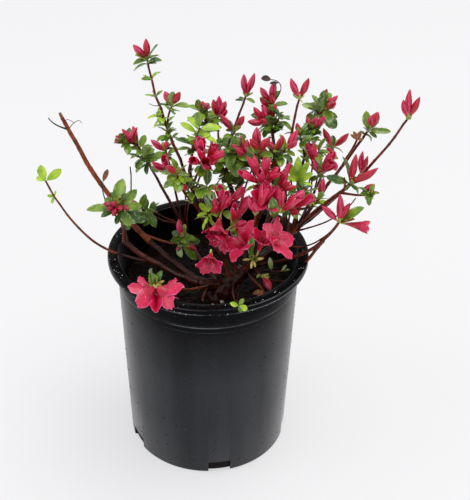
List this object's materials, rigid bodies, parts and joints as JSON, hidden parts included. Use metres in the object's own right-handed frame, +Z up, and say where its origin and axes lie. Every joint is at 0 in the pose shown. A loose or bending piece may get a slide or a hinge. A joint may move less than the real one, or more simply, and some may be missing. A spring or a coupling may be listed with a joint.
{
  "type": "potted azalea shrub",
  "caption": "Young evergreen azalea in crimson bud and early bloom: slender stems fork low from a short leaning trunk in a round black nursery pot filled with compost.",
  "frame": {"origin": "middle of the pot's flat underside, where it stands", "axes": "+Z up along the pot's axis, -Y the front that the picture looks at, +X to the right as seen from there"},
  "size_m": [0.3082, 0.2099, 0.3531],
  "materials": {
    "pot": "black moulded nursery-pot plastic, half matt, damp and glossier at the rim",
    "potting_mix": "moist dark peat and bark compost with white perlite grains",
    "bark": "thin red-brown bark, ribbed lengthwise, damp",
    "foliage": "small glossy evergreen leaves, bright yellow-green when young",
    "blossom": "satin crimson-pink petals and furrowed buds"
  },
  "bodies": {
    "root": {"pot": "pot", "potting_mix": "potting_mix", "trunk": "bark", "old_stem": "bark", "cut_stem": "bark", "arching_stem": "bark", "front_stem": "bark", "left_bough": "bark", "tall_shoot": "bark", "mid_bough": "bark", "centre_bough": "bark", "top_bough": "bark", "right_limb": "bark", "long_pair": "bark", "near_pair": "bark", "back_right": "bark", "right_pair": "bark", "fork_stem": "bark", "far_right": "bark", "right_low": "bark", "front_right": "bark", "brown_tip": "bark", "back_limb": "bark", "back_left": "bark", "back_left_twin": "bark", "back_low": "bark", "arching_stem_foliage": "foliage", "rosette_foliage": "foliage", "front_stem_foliage": "blossom", "pot_shoot_foliage": "foliage", "left_bough_foliage": "foliage", "tall_shoot_foliage": "foliage", "low_left_foliage": "foliage", "mid_bough_foliage": "foliage", "centre_bough_foliage": "foliage", "high_bloom_foliage": "blossom", "top_bough_foliage": "foliage", "long_pair_foliage": "foliage", "near_pair_foliage": "foliage", "back_right_foliage": "foliage", "right_pair_foliage": "foliage", "sprout_foliage": "foliage", "fork_stem_foliage": "foliage", "far_right_foliage": "foliage", "right_low_foliage": "foliage", "front_right_foliage": "blossom", "bloom_stem_foliage": "blossom", "left_bloom_foliage": "blossom", "low_bloom_foliage": "blossom", "runner_foliage": "foliage", "back_left_foliage": "foliage", "back_left_twin_foliage": "foliage", "back_low_foliage": "foliage"}
  },
  "joints": []
}
